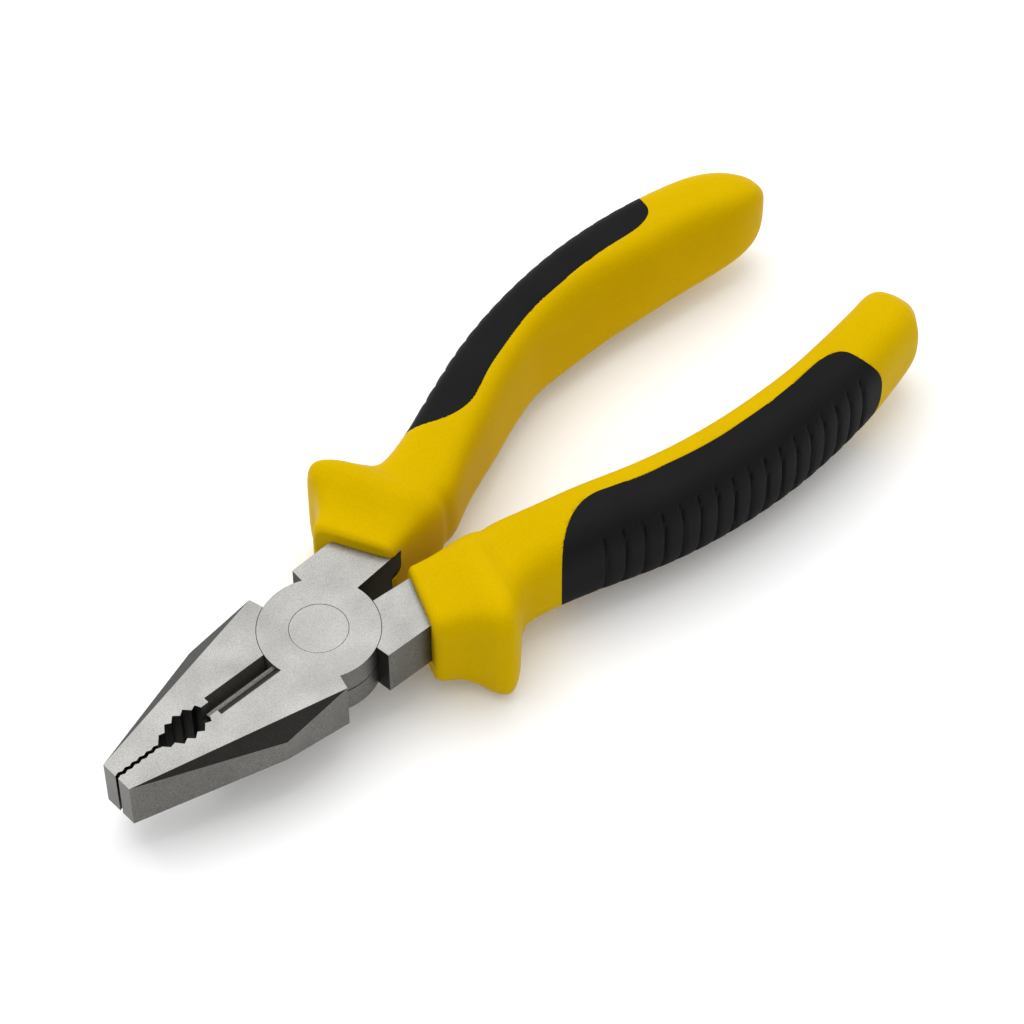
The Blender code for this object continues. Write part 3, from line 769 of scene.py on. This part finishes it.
def insert_zone(near, grow):
    """Upright body over the soft insert's area, made larger all round by grow."""
    edge = spline([(-back, side) for back, side in INSERT_EDGE], EDGE_STEPS)
    last = len(edge) - 1
    bow = [INSERT_END_BOW * max(0.0, 1 - (last - i) / (last * INSERT_END_SHARE)) for i in range(last + 1)]
    outside = max(side for _, side in INSERT_EDGE) + ZONE_ROOM
    outline = edge + [(edge[-1][0], outside), (edge[0][0], outside)]
    bow += [INSERT_END_BOW, 0.0]
    grown = []
    for i, here in enumerate(outline):
        before, after = Vector(outline[i - 1]), Vector(outline[(i + 1) % len(outline)])
        along = (after - before).normalized()
        grown.append((here[0] + along.y * grow, here[1] - along.x * grow))
    rings = []
    for number in range(ZONE_LEVELS + 1):
        level = -1.0 + 2.0 * number / ZONE_LEVELS
        share = 1 - abs(level) ** INSERT_END_POWER
        tall = level * INSERT_END_HEIGHT
        # The lowest and the highest level reach out past the grip
        if number in (0, ZONE_LEVELS):
            tall *= 2.0
        rings.append([framed(x - reach * share, y, tall, near) for (x, y), reach in zip(grown, bow)])
    return rings


def notch(near):
    """Body that opens a sleeve's inner face over the tang, on the top of one side and under the other."""
    profile = [(NOTCH_START, HALF_THICK + NOTCH_RISE), (NOTCH_END, HALF_THICK + NOTCH_RISE)]
    for number in range(NOTCH_STEPS + 1):
        angle = math.radians(90 * number / NOTCH_STEPS)
        profile.append((NOTCH_END - NOTCH_CORNER * (1 - math.cos(angle)),
                        NOTCH_LOW + NOTCH_CORNER * (1 - math.sin(angle))))
    profile.append((NOTCH_START, NOTCH_LOW))
    turned = -1 if near else 1
    return [[framed(-back, side, turned * tall, near) for back, tall in profile] for side in NOTCH_SIDES]


class PLIERS_OT_hard_sleeves(bpy.types.Operator):
    """Mould the two hard yellow sleeves with their guards, pockets and tang holes"""
    bl_idname = "pliers.hard_sleeves"
    bl_label = "Hard sleeves"

    def execute(self, context):
        settings = context.scene.pliers_grips
        plastic = finish("hard_yellow_plastic", settings.hard, roughness=0.4, grain_scale=2600.0,
                         contrast=0.12, bump=0.12, tone=(0.97, 1.02), spread=0.04, cloud_scale=60.0,
                         specular=0.012, gleam=(1.0, 0.7, 0.05))
        seam, thickness = settings.seam / MM, settings.thickness / MM
        for side, near in (("near", True), ("far", False)):
            body = side + "_handle_half"
            tang = "half_far_jaw" if near else "half_near_jaw"
            sleeve = piece_from("hard_sleeve_" + side, drawn_body(whole_grip(near)))
            pocket = piece_from("pocket", drawn_body(insert_zone(near, seam)))
            cut(pocket, piece_from("core", drawn_body(insert_core(near, thickness + seam))), "DIFFERENCE")
            cut(sleeve, pocket, "DIFFERENCE")
            cut(sleeve, piece_from("tang", half_mesh(tang)), "DIFFERENCE")
            cut(sleeve, piece_from("notch", drawn_body(notch(near))), "DIFFERENCE")
            place_piece(sleeve, body, ["grip_sleeve_" + side], [plastic])
        return {"FINISHED"}


class PLIERS_OT_soft_inserts(bpy.types.Operator):
    """Mould the two soft black inserts with their bowed grip ribs"""
    bl_idname = "pliers.soft_inserts"
    bl_label = "Soft inserts"

    def execute(self, context):
        settings = context.scene.pliers_grips
        rubber = finish("soft_black_rubber", settings.soft, roughness=0.55, grain_scale=3200.0,
                        contrast=0.35, bump=0.3, tone=(0.9, 1.1), cloud_scale=80.0, specular=0.035)
        thickness = settings.thickness / MM
        for side, near in (("near", True), ("far", False)):
            rings = insert_skin(near, settings.rib_pitch / MM, settings.groove_depth / MM)
            insert = piece_from("soft_insert_" + side, drawn_body(rings))
            cut(insert, piece_from("zone", drawn_body(insert_zone(near, 0.0))), "INTERSECT")
            cut(insert, piece_from("core", drawn_body(insert_core(near, thickness))), "DIFFERENCE")
            body = side + "_handle_half"
            place_piece(insert, body, ["grip_insert_" + side], [rubber])
        return {"FINISHED"}


# Stage

class PLIERS_OT_stage(bpy.types.Operator):
    """Set the pale floor, the surroundings, the soft key light and the camera"""
    bl_idname = "pliers.stage"
    bl_label = "Stage"

    def execute(self, context):
        settings = context.scene.pliers_stage
        bm = bmesh.new()
        bmesh.ops.create_grid(bm, x_segments=1, y_segments=1, size=FLOOR_REACH)
        floor = piece_from("floor", bm)
        paper = bpy.data.materials.new("pale_floor")
        paper.use_nodes = True
        shader = paper.node_tree.nodes["Principled BSDF"]
        shader.inputs["Base Color"].default_value = (*settings.floor, 1.0)
        shader.inputs["Roughness"].default_value = 0.85
        shader.inputs["Specular IOR Level"].default_value = 0.2
        # Painted light: the floor glows, which lifts and whitens the shadows on it
        shader.inputs["Emission Color"].default_value = (1.0, 1.0, 1.0, 1.0)
        shader.inputs["Emission Strength"].default_value = settings.floor_glow
        floor.data.materials.append(paper)

        context.scene.world = self.surround(settings)
        self.key_light(context, settings.key_power)
        self.camera(context, settings.lens)
        context.scene.view_settings.view_transform = "Standard"
        return {"FINISHED"}

    def surround(self, settings):
        """Pale surroundings that grow brighter towards the top and the far side."""
        world = bpy.data.worlds.new("soft_surround")
        world.use_nodes = True
        tree = world.node_tree
        backdrop = tree.nodes["Background"]
        backdrop.inputs["Color"].default_value = (1.0, 1.0, 1.0, 1.0)
        where = tree.nodes.new("ShaderNodeTexCoord")
        facing = add(tree, "ShaderNodeVectorMath", operation="DOT_PRODUCT")
        facing.inputs[1].default_value = BRIGHT_SIDE
        darkest = max(0.0, settings.sky - settings.sky_rise)
        rise = add(tree, "ShaderNodeMapRange", From_Min=-1.0, From_Max=1.0,
                   To_Min=darkest, To_Max=settings.sky + settings.sky_rise)
        tree.links.new(where.outputs["Generated"], facing.inputs[0])
        tree.links.new(facing.outputs["Value"], rise.inputs["Value"])
        tree.links.new(rise.outputs["Result"], backdrop.inputs["Strength"])
        return world

    def key_light(self, context, power):
        """A large light that faces the middle of the floor."""
        light = bpy.data.lights.new("key_light", "AREA")
        light.shape = "RECTANGLE"
        light.size, light.size_y = KEY_SIZE
        light.energy = power
        lamp = bpy.data.objects.new("key_light", light)
        lamp.location = KEY_PLACE
        lamp.rotation_euler = Vector(KEY_PLACE).to_track_quat("Z", "Y").to_euler()
        context.scene.collection.objects.link(lamp)

    def camera(self, context, lens):
        """A camera that looks down along the given angles, slightly rolled."""
        turn, rise, roll = map(math.radians, (CAMERA_TURN, CAMERA_RISE, CAMERA_ROLL))
        back = Vector((math.sin(turn) * math.cos(rise), -math.cos(turn) * math.cos(rise), math.sin(rise)))
        level = Vector((math.cos(turn), math.sin(turn), 0.0))
        above = back.cross(level)
        right = level * math.cos(roll) + above * math.sin(roll)
        up = above * math.cos(roll) - level * math.sin(roll)
        view = bpy.data.cameras.new("camera")
        view.lens = lens
        view.sensor_width = 36.0
        view.clip_start, view.clip_end = 0.01, 20.0
        camera = bpy.data.objects.new("camera", view)
        matrix = Matrix((right, up, back)).transposed().to_4x4()
        matrix.translation = CAMERA_PLACE
        camera.matrix_world = matrix
        context.scene.collection.objects.link(camera)
        context.scene.camera = camera


class PLIERS_PT_pieces(bpy.types.Panel):
    """Sizes and colours of the pliers, and a button for each group of pieces"""
    bl_idname = "PLIERS_PT_pieces"
    bl_label = "Combination pliers"
    bl_space_type = "VIEW_3D"
    bl_region_type = "UI"
    bl_category = "Pliers"

    def draw(self, context):
        layout = self.layout
        for group, names, operators in SECTIONS:
            box = layout.box()
            settings = getattr(context.scene, group)
            for name in names:
                box.prop(settings, name)
            for operator in operators:
                box.operator(operator)


SECTIONS = (
    ("pliers_steel", ("edge", "ground", "forged", "facet", "recess", "pipe", "worn", "rivet_gap"),
     ("pliers.forged_halves", "pliers.rivet")),
    ("pliers_grips", ("hard", "soft", "seam", "thickness", "rib_pitch", "groove_depth"),
     ("pliers.hard_sleeves", "pliers.soft_inserts")),
    ("pliers_stage", ("floor", "floor_glow", "key_power", "sky", "sky_rise", "lens"), ("pliers.stage",)),
)

CLASSES = (SteelSettings, GripSettings, StageSettings, PLIERS_OT_forged_halves, PLIERS_OT_rivet,
           PLIERS_OT_hard_sleeves, PLIERS_OT_soft_inserts, PLIERS_OT_stage, PLIERS_PT_pieces)


def register():
    for kind in CLASSES:
        bpy.utils.register_class(kind)
    bpy.types.Scene.pliers_steel = PointerProperty(type=SteelSettings)
    bpy.types.Scene.pliers_grips = PointerProperty(type=GripSettings)
    bpy.types.Scene.pliers_stage = PointerProperty(type=StageSettings)


def unregister():
    del bpy.types.Scene.pliers_steel
    del bpy.types.Scene.pliers_grips
    del bpy.types.Scene.pliers_stage
    for kind in reversed(CLASSES):
        bpy.utils.unregister_class(kind)


def main():
    register()
    bpy.ops.pliers.forged_halves()
    bpy.ops.pliers.rivet()
    bpy.ops.pliers.hard_sleeves()
    bpy.ops.pliers.soft_inserts()
    bpy.ops.pliers.stage()


if __name__ == "__main__":
    main()
